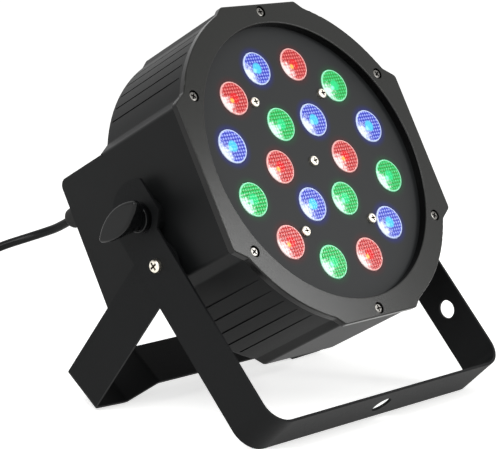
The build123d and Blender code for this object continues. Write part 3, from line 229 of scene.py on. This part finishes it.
# The grain's height as a share of its width, and how much it moves the roughness down and up
GRAIN_HEIGHT_SHARE = 0.25
SMOOTHER, ROUGHER = 0.05, 0.06
# Width of the broad drift between a material's two colours, in millimetres
DRIFT_MM = 40


def moulded(name, dark, light, roughness, grain_mm, relief, side=None, shine=0.5, **extra):
    """A moulded or coated surface: fine grain as bump, and a broad drift between two close colours. Where a
    side colour is given, faces that don't look out of the lamp face have it, as painted shade on sides and
    recesses."""
    made, tree = new_material(name)
    place = add_node(tree, "ShaderNodeTexCoord")
    where = {"Vector": place.outputs["Object"]}
    drift = add_node(tree, "ShaderNodeTexNoise", {}, {"Scale": 1 / (DRIFT_MM * MM), "Detail": 3.0}, where)
    grain = add_node(tree, "ShaderNodeTexNoise", {}, {"Scale": 1 / (grain_mm * MM), "Detail": 2.0}, where)
    colour = laid_over(tree, drift.outputs["Fac"], dark, light)
    # The side colour is painted shade, laid on faces turned away from the lamp face
    if side:
        facing = {0: place.outputs["Normal"]}
        facing = add_node(tree, "ShaderNodeVectorMath", {"operation": "DOT_PRODUCT"}, {1: FACE_OUT}, facing)
        limits = {FROM_LOW: SIDE_SHADE_ALL, FROM_HIGH: SIDE_SHADE_NONE, TO_LOW: 1.0, TO_HIGH: 0.0}
        share = add_node(tree, "ShaderNodeMapRange", {}, limits, {0: facing.outputs["Value"]})
        colour = laid_over(tree, share.outputs[0], colour, side)
    limits = {TO_LOW: roughness - SMOOTHER, TO_HIGH: roughness + ROUGHER}
    rough = add_node(tree, "ShaderNodeMapRange", {}, limits, {0: grain.outputs["Fac"]})
    height = {"Strength": relief, "Distance": grain_mm * GRAIN_HEIGHT_SHARE * MM}
    bump = add_node(tree, "ShaderNodeBump", {}, height, {"Height": grain.outputs["Fac"]})
    links = {"Base Color": colour, "Roughness": rough.outputs[0], "Normal": bump.outputs[0]}
    values = {"Specular IOR Level": shine, **extra}
    finish_material(tree, add_node(tree, "ShaderNodeBsdfPrincipled", {}, values, links))
    return made


# Black moulded ABS with a fine spark-eroded finish, which gives the bezel a broad soft sheen; its sides and
# recess walls have a near-black painted shade
bezel_abs = moulded(
    "moulded_abs_bezel", "#10110e", "#161713",
    roughness=0.22, grain_mm=0.5, relief=0.12, side="#050505", shine=0.28,
)
# The same plastic from the housing's rougher tool, which leaves its sides a deep even black
housing_abs = moulded(
    "moulded_abs_housing", "#080909", "#0e0f10", roughness=0.45, grain_mm=0.6, relief=0.2, shine=0.14
)
# Sheet steel with satin black powder coat: slight orange peel, and no clear reflection
powder_coat = moulded(
    "powder_coated_steel", "#08090a", "#0e0f10", roughness=0.55, grain_mm=1.2, relief=0.18, shine=0.12
)
# Zinc plated steel of nuts, knob studs and hidden screws: a dull blue-grey metal
zinc = moulded(
    "zinc_plated_steel", "#9a9b9d", "#b2b3b5", roughness=0.38, grain_mm=1.0, relief=0.08, Metallic=1.0
)
# Injection moulded nylon knob: smoother than the housing, so that its rim catches a thin light line
knob_nylon = moulded(
    "moulded_nylon_knob", "#060708", "#0b0c0d", roughness=0.2, grain_mm=3.0, relief=0.05, shine=0.2
)
# Extruded PVC sheath: soft gloss along the cord
pvc_sheath = moulded(
    "extruded_pvc_sheath", "#050607", "#090a0b", roughness=0.26, grain_mm=1.5, relief=0.08, shine=0.15
)
# Moulded rubber of the gland and the friction washers: matt
rubber = moulded(
    "moulded_rubber", "#101010", "#161616", roughness=0.62, grain_mm=0.7, relief=0.2, shine=0.25
)
# Black glass-filled nylon of sockets, fan and buttons: slightly mottled satin
glass_nylon = moulded("glass_filled_nylon", "#121313", "#1a1b1b", roughness=0.5, grain_mm=0.8, relief=0.2)
# Plain nylon of the hinge washers: milky and soft
plain_nylon = moulded("plain_nylon", "#c9c7bf", "#d6d4cd", roughness=0.5, grain_mm=1.5, relief=0.1)
# Black oxide on small steel parts: a dark metal with a faint shine
black_oxide = moulded(
    "black_oxide_steel", "#1a1a1b", "#242425", roughness=0.36, grain_mm=1.0, relief=0.1, Metallic=1.0
)
# Silver plated contacts and plug pins: clean bright reflections
silver = moulded(
    "silver_plated_brass", "#cfccc4", "#dedbd3", roughness=0.2, grain_mm=2.0, relief=0.04, Metallic=1.0
)
# Turned brass inserts: warm yellow metal
brass = moulded("turned_brass", "#b08a45", "#c49c55", roughness=0.3, grain_mm=1.0, relief=0.06, Metallic=1.0)
# Extruded aluminium of the heat sink: pale satin metal
aluminium = moulded(
    "extruded_aluminium", "#a8abad", "#b8bbbd", roughness=0.42, grain_mm=0.8, relief=0.1, Metallic=1.0
)
# Green and white solder mask on the boards: smooth lacquer
green_board = moulded("green_solder_mask", "#1d5a31", "#246a3a", roughness=0.35, grain_mm=1.5, relief=0.1)
white_board = moulded("white_solder_mask", "#dcdcd6", "#e6e6e0", roughness=0.4, grain_mm=1.5, relief=0.1)
# Moulded epoxy of the small parts on the boards: dull black
epoxy = moulded("moulded_epoxy", "#161617", "#1e1e20", roughness=0.45, grain_mm=0.6, relief=0.15)
# Polyester tape round the transformer's winding: shiny yellow film
winding_tape = moulded("winding_tape", "#c8a52a", "#d8b63a", roughness=0.4, grain_mm=2.0, relief=0.1)
# Nylon of the terminal block: plain green plastic
terminal_nylon = moulded(
    "green_terminal_nylon", "#1f6a34", "#27783d", roughness=0.45, grain_mm=1.0, relief=0.1
)
# Cast silicone of the LED emitters: cream, glossy and quite smooth
silicone = moulded("cast_silicone", "#e6dfb8", "#f2ecc8", roughness=0.25, grain_mm=1.5, relief=0.03)
# Smoked acrylic over the display, dark with a clear gloss
smoked_acrylic = moulded("smoked_acrylic", "#1c0a0b", "#230c0d", roughness=0.12, grain_mm=4.0, relief=0.02)
# The display's face, a dark red film that is off
display_face = moulded("display_face", "#200607", "#2c090b", roughness=0.3, grain_mm=2.0, relief=0.05)

# The lamps on the plate, in millimetres: an inner ring of six and an outer ring of twelve
INNER_RING = 26.5
OUTER_RING = 57.5
LENS_RADIUS = 9.5


def ring_places(radius, angles):
    """Places on a circle round the plate's middle, at angles in degrees."""
    return [(radius * cos(radians(angle)), radius * sin(radians(angle))) for angle in angles]


red_places = ring_places(INNER_RING, (0, 180)) + ring_places(OUTER_RING, (75, -75, -135, 135))
green_places = ring_places(INNER_RING, (120, -60)) + ring_places(OUTER_RING, (45, -15, -105, -165))
blue_places = ring_places(INNER_RING, (60, -120)) + ring_places(OUTER_RING, (105, 15, -45, 165))


def face_place(tree):
    """Coordinates on the lamp face in millimetres, x across and y up."""
    place = {"Vector": add_node(tree, "ShaderNodeTexCoord").outputs["Object"]}
    turned = {"Location": FACE_CENTRE, "Rotation": (pi / 2 - TILT, 0, 0), "Scale": (MM, MM, MM)}
    return add_node(tree, "ShaderNodeMapping", {"vector_type": "TEXTURE"}, turned, place).outputs[0]


def calculated(tree, operation, values, links):
    """The result of one sum, from fixed values and from other nodes' sockets."""
    return add_node(tree, "ShaderNodeMath", {"operation": operation}, values, links).outputs[0]


def distance(tree, place, centre):
    """How far a place is from a centre."""
    return add_node(
        tree, "ShaderNodeVectorMath", {"operation": "DISTANCE"}, {1: centre}, {0: place}
    ).outputs["Value"]


def nearest(tree, place, centres, across=0, up=0, rise=0):
    """The distance to the nearest of some centres, all moved by the same amount."""
    least = None
    for x, y in centres:
        far = distance(tree, place, (x + across, y + up, rise))
        least = far if least is None else calculated(tree, "MINIMUM", {}, {0: least, 1: far})
    return least


def fade(tree, amount, full, none):
    """One where an amount is at its full value, and smoothly down to nothing."""
    values = {FROM_LOW: full, FROM_HIGH: none, TO_LOW: 1.0, TO_HIGH: 0.0}
    settings = {"interpolation_type": "SMOOTHSTEP"}
    return add_node(tree, "ShaderNodeMapRange", settings, values, {0: amount}).outputs[0]


# The lens's pattern, in millimetres of the lamp face. Each pair says where a colour is full and where it
# ends. The pillows are coarser than the real ones, so that they show at this size.
PILLOW = 1.9
PILLOW_LINES = (1.6, -0.4)
LAMP_CORE = (2.4, 3.8)
BRIGHT_RIM = (LENS_RADIUS - 0.3, LENS_RADIUS - 1.2)
# Where the painted glare of a soft lamp lies beside each lamp, how far it reaches, and how pillows and
# speckle break it
GLARE_PLACE = (-9.0, -4.0)
GLARE_EDGE = (7.4, 12.4)
GLARE_BY_PILLOW = 0.7
GLARE_BY_SPECKLE = 9.0
SPECKLE_SCALE = 0.45
SPARK_PLACE = (-2.4, -1.2)
SPARK_SIZE = (0.6, 2.0)
LENS_RELIEF = {"Strength": 0.3, "Distance": 0.1 * MM}
LENS_GLOSS = {"Roughness": 0.16, "Specular IOR Level": 0.3, "Emission Strength": 0.05}


def lens_acrylic(name, centres, body, line, core, rim, spark, glare):
    """Tinted clear acrylic over a lit lamp: a grid of small pillows, a bright rim, the painted glare of a
    soft lamp on the side to its left, and the lamp's own spot in the middle."""
    made, tree = new_material(name)
    place = face_place(tree)
    axes = add_node(tree, "ShaderNodeSeparateXYZ", links={0: place})
    waves = []
    for axis in (0, 1):
        turn = calculated(tree, "MULTIPLY", {1: 2 * pi / PILLOW}, {0: axes.outputs[axis]})
        waves.append(calculated(tree, "SINE", {}, {0: turn}))
    pillow = calculated(tree, "ADD", {}, {0: waves[0], 1: waves[1]})
    speckle = {"Scale": SPECKLE_SCALE, "Detail": 2.0}
    speckle = add_node(tree, "ShaderNodeTexNoise", {}, speckle, {"Vector": place}).outputs["Fac"]
    middle = nearest(tree, place, centres)
    # The painted glare: a soft lamp's highlight painted on each lens's left side
    edge = nearest(tree, place, centres, *GLARE_PLACE)
    edge = calculated(tree, "MULTIPLY_ADD", {1: GLARE_BY_PILLOW}, {0: pillow, 2: edge})
    edge = calculated(tree, "MULTIPLY_ADD", {1: GLARE_BY_SPECKLE}, {0: speckle, 2: edge})
    colour = laid_over(tree, fade(tree, pillow, *PILLOW_LINES), body, line)
    colour = laid_over(tree, fade(tree, middle, *LAMP_CORE), colour, core)
    colour = laid_over(tree, fade(tree, middle, *BRIGHT_RIM), colour, rim)
    colour = laid_over(tree, fade(tree, edge, *GLARE_EDGE), colour, glare)
    lamp_spot = nearest(tree, place, centres, *SPARK_PLACE)
    colour = laid_over(tree, fade(tree, lamp_spot, *SPARK_SIZE), colour, spark)
    bump = add_node(tree, "ShaderNodeBump", {}, LENS_RELIEF, {"Height": pillow})
    links = {"Base Color": colour, "Emission Color": colour, "Normal": bump.outputs[0]}
    finish_material(tree, add_node(tree, "ShaderNodeBsdfPrincipled", {}, LENS_GLOSS, links))
    return made


red_acrylic = lens_acrylic(
    "red_acrylic", red_places, body="#ae0c14", line="#e8706c", core="#de0812",
    rim="#f4b4b0", spark="#ffc050", glare="#fde6e4",
)
green_acrylic = lens_acrylic(
    "green_acrylic", green_places, body="#009834", line="#30dc7c", core="#08d880",
    rim="#98f4c4", spark="#90ffd8", glare="#dcfff0",
)
blue_acrylic = lens_acrylic(
    "blue_acrylic", blue_places, body="#2634b8", line="#98a8f6", core="#48c8f4",
    rim="#c8d8fa", spark="#90f0ff", glare="#e4f0ff",
)

# The paint's fine roughness, and how far a lamp's light, painted on it as a glow, spreads from under the
# lens's edge
PAINT_GRAIN = {"Scale": 2.5, "Detail": 2.0}
PAINT_RELIEF = {"Strength": 0.12, "Distance": 0.1 * MM}
PAINT_GLOSS = {"Roughness": 0.5, "Specular IOR Level": 0.22}
GLOW_SPREAD = (LENS_RADIUS - 1.5, LENS_RADIUS + 4.2)


def plate_paint(name, body, painted_glows):
    """Stoved dark grey paint on sheet steel, with the lamps' coloured light painted faint on it round each
    hole.
    """
    made, tree = new_material(name)
    place = face_place(tree)
    colour = body
    for centres, glow in painted_glows:
        colour = laid_over(tree, fade(tree, nearest(tree, place, centres), *GLOW_SPREAD), colour, glow)
    grain = add_node(tree, "ShaderNodeTexNoise", {}, PAINT_GRAIN, {"Vector": place})
    bump = add_node(tree, "ShaderNodeBump", {}, PAINT_RELIEF, {"Height": grain.outputs["Fac"]})
    links = {"Base Color": colour, "Normal": bump.outputs[0]}
    finish_material(tree, add_node(tree, "ShaderNodeBsdfPrincipled", {}, PAINT_GLOSS, links))
    return made


# Painted light: each lamp's colour laid faint on the plate round its hole
painted_lamp_glows = [(red_places, "#3c1012"), (green_places, "#0a3a1e"), (blue_places, "#182068")]
lamp_plate_paint = plate_paint("painted_steel_plate", "#191b1c", painted_lamp_glows)

# The shade in a cross recess is full and ends at these depths under its head's top, and at these radii
SHADE_DEPTH = (0.5, 0.3)
RECESS_RADIUS = (1.9, 2.2)
# The same on the hinge screws, by their distance from the light's middle and from their own axis
HINGE_SHADE_REACH = (97.3 * MM, 97.8 * MM)
HINGE_RECESS_RADIUS = (2.3 * MM, 2.5 * MM)


def plated(made, tree, inside, head, recess, roughness):
    """Bright plating on a screw, and the shade inside its recess."""
    values = {"Roughness": roughness, "Metallic": 1.0}
    links = {"Base Color": laid_over(tree, inside, head, recess)}
    finish_material(tree, add_node(tree, "ShaderNodeBsdfPrincipled", {}, values, links))
    return made


def face_screw_plating(name, centres, rise, head, recess, roughness):
    """Plated cross-head screws whose heads stand at one height over the lamp plate."""
    made, tree = new_material(name)
    place = face_place(tree)
    axes = add_node(tree, "ShaderNodeSeparateXYZ", links={0: place})
    deep = fade(tree, axes.outputs[2], rise - SHADE_DEPTH[0], rise - SHADE_DEPTH[1])
    near = fade(tree, nearest(tree, place, centres, 0, 0, rise), *RECESS_RADIUS)
    return plated(made, tree, calculated(tree, "MULTIPLY", {}, {0: deep, 1: near}), head, recess, roughness)


def hinge_screw_plating(name, head, recess, roughness):
    """The same plating on the two screws that lie across the brackets' arms."""
    made, tree = new_material(name)
    place = add_node(tree, "ShaderNodeTexCoord").outputs["Object"]
    axes = add_node(tree, "ShaderNodeSeparateXYZ", links={0: place})
    flat = add_node(tree, "ShaderNodeVectorMath", {"operation": "MULTIPLY"}, {1: (0, 1, 1)}, {0: place})
    deep = fade(tree, calculated(tree, "ABSOLUTE", {}, {0: axes.outputs[0]}), *HINGE_SHADE_REACH)
    near = fade(tree, distance(tree, flat.outputs[0], HINGE), *HINGE_RECESS_RADIUS)
    return plated(made, tree, calculated(tree, "MULTIPLY", {}, {0: deep, 1: near}), head, recess, roughness)


# Bright nickel on the plate's and the brackets' screws, and a darker one, deep in the counterbores
PLATE_SCREW_RISE = 1.9
BEZEL_SCREW_RISE = 4.5
plate_screw_places = [(0, 0)] + ring_places(45.8, (53.43, -53.43, 126.57, -126.57))
bezel_screw_places = ring_places(85.8, range(30, 390, 60))
plate_nickel = face_screw_plating(
    "bright_nickel", plate_screw_places, PLATE_SCREW_RISE, "#e2dccf", "#2c2824", roughness=0.3
)
bezel_nickel = face_screw_plating(
    "dark_nickel", bezel_screw_places, BEZEL_SCREW_RISE, "#7e7c78", "#0a0a0a", roughness=0.16
)
hinge_nickel = hinge_screw_plating("hinge_screw_nickel", "#e2dccf", "#2c2824", roughness=0.3)

finishes = {
    bezel_abs: ["bezel"],
    housing_abs: ["housing"],
    lamp_plate_paint: ["lamp_plate"],
    powder_coat: ["front_bracket", "rear_bracket"],
    plate_nickel: ["plate_screws"],
    bezel_nickel: ["bezel_screws"],
    hinge_nickel: ["bracket_screws"],
    zinc: ["bracket_nuts", "knob_stud_left", "knob_stud_right", "standoffs", "heat_sink_screws",
           "power_board_screws", "control_board_screws", "microphone"],
    knob_nylon: ["knob_left", "knob_right"],
    pvc_sheath: ["plug", "power_cord", "cord_coil"],
    rubber: ["cord_gland", "friction_washers"],
    glass_nylon: ["signal_in_socket", "signal_out_socket", "fan_frame", "fan_rotor", "lens_holders",
                  "button_1", "button_2", "button_3", "button_4"],
    plain_nylon: ["bracket_washers"],
    black_oxide: ["fan_screws", "knob_washers"],
    silver: ["signal_in_pins", "signal_out_sleeves", "plug_pins"],
    brass: ["tilt_inserts"],
    aluminium: ["heat_sink"],
    green_board: ["power_board", "control_board"],
    white_board: ["led_board"],
    epoxy: ["capacitors", "rectifier", "tact_switches"],
    winding_tape: ["transformer"],
    terminal_nylon: ["terminal_block"],
    silicone: ["led_emitters"],
    smoked_acrylic: ["display_window"],
    display_face: ["display"],
    red_acrylic: ["red_lenses"],
    green_acrylic: ["green_lenses"],
    blue_acrylic: ["blue_lenses"],
}
for finish, names in finishes.items():
    for name in names:
        piece = nodes[name]
        piece.data.materials.clear()
        piece.data.materials.append(finish)
cord.data.materials.append(pvc_sheath)

# Floor and world: white where they are seen, and a plain level of light on the object
FLOOR_HALF = 6
FLOOR_GLOW = 0.6
WORLD_LIGHT = 0.45
WHITE = (1, 1, 1, 1)


def seen_share(tree):
    """One for the rays that show the background: straight ones, mirrored ones and those through glass."""
    path = add_node(tree, "ShaderNodeLightPath")
    share = path.outputs["Is Camera Ray"]
    for ray in ("Is Glossy Ray", "Is Transmission Ray"):
        share = calculated(tree, "MAXIMUM", {}, {0: share, 1: path.outputs[ray]})
    return share


white, tree = new_material("white_floor")
strength = calculated(tree, "MULTIPLY", {1: FLOOR_GLOW}, {0: seen_share(tree)})
glow = add_node(tree, "ShaderNodeEmission", {}, {"Color": WHITE}, {"Strength": strength})
matt = add_node(tree, "ShaderNodeBsdfDiffuse", {}, {"Color": linear("#f4f4f2")})
finish_material(tree, add_node(tree, "ShaderNodeAddShader", links={0: glow.outputs[0], 1: matt.outputs[0]}))
corners = [(x * FLOOR_HALF, y * FLOOR_HALF, 0) for x, y in ((-1, -1), (1, -1), (1, 1), (-1, 1))]
floor_mesh = bpy.data.meshes.new("floor")
floor_mesh.from_pydata(corners, [], [(0, 1, 2, 3)])
floor = new_piece("floor", floor_mesh)
floor_mesh.materials.append(white)

world = bpy.data.worlds.new("studio")
scene.world = world
world.use_nodes = True
tree = world.node_tree
tree.nodes.clear()
limits = {TO_LOW: WORLD_LIGHT, TO_HIGH: 1.0}
strength = add_node(tree, "ShaderNodeMapRange", {}, limits, {0: seen_share(tree)}).outputs[0]
sky = add_node(tree, "ShaderNodeBackground", {}, {"Color": WHITE}, {"Strength": strength})
add_node(tree, "ShaderNodeOutputWorld", links={"Surface": sky.outputs[0]})


def soft_lamp(name, place, aim, size, power):
    """A square soft lamp that looks at a point."""
    data = bpy.data.lights.new(name, "AREA")
    data.shape = "SQUARE"
    data.size = size
    data.energy = power
    lamp = bpy.data.objects.new(name, data)
    scene.collection.objects.link(lamp)
    lamp.location = place
    lamp.rotation_euler = (Vector(aim) - Vector(place)).to_track_quat("-Z", "Y").to_euler()


LIGHT_MIDDLE = (0, 0, 0.1)
soft_lamp("key_lamp", (-1.1, -0.4, 1.2), LIGHT_MIDDLE, size=0.9, power=14)
soft_lamp("fill_lamp", (0.5, -1.4, 1.2), LIGHT_MIDDLE, size=1.0, power=4)
# A smaller lamp that the bezel's lower left mirrors to the camera
soft_lamp("sheen_lamp", (0.5, -0.55, 0.47), (-0.06, -0.055, 0.075), size=0.22, power=1.4)
soft_lamp("low_lamp", (-1.3, -0.5, 0.35), LIGHT_MIDDLE, size=0.6, power=3)
